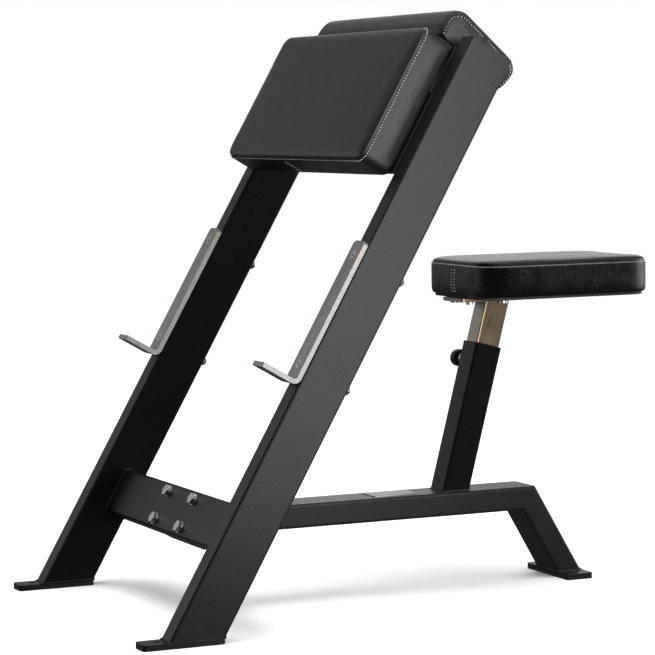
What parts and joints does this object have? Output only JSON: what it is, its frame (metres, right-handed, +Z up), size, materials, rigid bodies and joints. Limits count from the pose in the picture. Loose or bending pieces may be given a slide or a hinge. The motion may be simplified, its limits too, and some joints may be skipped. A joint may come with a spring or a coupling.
{
  "type": "preacher curl bench",
  "caption": "Preacher curl bench: leaning tube frame with padded arm and chest rests, bent steel bar rests and a pin-set sliding seat on a low spine.",
  "frame": {"origin": "on the floor, half way across and half way along the bench", "axes": "+Z up; +X across the bench, its mirror direction; -Y the bar rest side, +Y the seat side"},
  "size_m": [0.646, 1.02, 0.9669],
  "materials": {
    "frame_coat": "satin",
    "zinc_fastener": "satin",
    "plated_steel": "satin",
    "rest_steel": "satin",
    "black_plastic": "matte",
    "board": "matte",
    "black_vinyl": "satin"
  },
  "bodies": {
    "frame": {"upright_left": "frame_coat", "upright_right": "frame_coat", "foot_plate_left": "frame_coat", "foot_plate_right": "frame_coat", "foot_plate_rear": "frame_coat", "cross_tube": "frame_coat", "spine_end_plate": "frame_coat", "spine_beam": "frame_coat", "rear_leg": "frame_coat", "seat_sleeve": "frame_coat", "pad_carrier_lower": "frame_coat", "pad_carrier_upper": "frame_coat", "joint_bolts": "zinc_fastener", "joint_washers": "zinc_fastener", "joint_nuts": "zinc_fastener", "rest_screws": "zinc_fastener", "rest_washers": "zinc_fastener", "rest_nuts": "zinc_fastener", "arm_screws": "zinc_fastener", "chest_screws": "zinc_fastener", "plunger_spring": "zinc_fastener", "plunger_housing": "zinc_fastener", "bar_rest_left": "rest_steel", "bar_rest_right": "rest_steel", "upright_cap_left": "black_plastic", "upright_cap_right": "black_plastic", "guide_liner_left": "black_plastic", "guide_liner_right": "black_plastic", "arm_board": "board", "chest_board": "board", "arm_pad": "black_vinyl", "chest_pad": "black_vinyl"},
    "seat": {"seat_post": "plated_steel", "post_plug": "black_plastic", "seat_plate": "plated_steel", "seat_board": "board", "seat_pad": "black_vinyl", "seat_screws": "zinc_fastener"},
    "pin": {"plunger_pin": "zinc_fastener", "pull_knob": "black_plastic"}
  },
  "joints": [
    {"name": "seat_slide", "type": "slide", "parent": "frame", "child": "seat", "axis": [0, 0.2588, 0.9659], "range_m": [-0.05, 0.1]},
    {"name": "pin_pull", "type": "slide", "parent": "frame", "child": "pin", "axis": [-1, 0, 0], "range_m": [0, 0.01], "stiffness_N_per_m": 1500, "springref_m": -0.006, "deforming": ["plunger_spring"]}
  ]
}
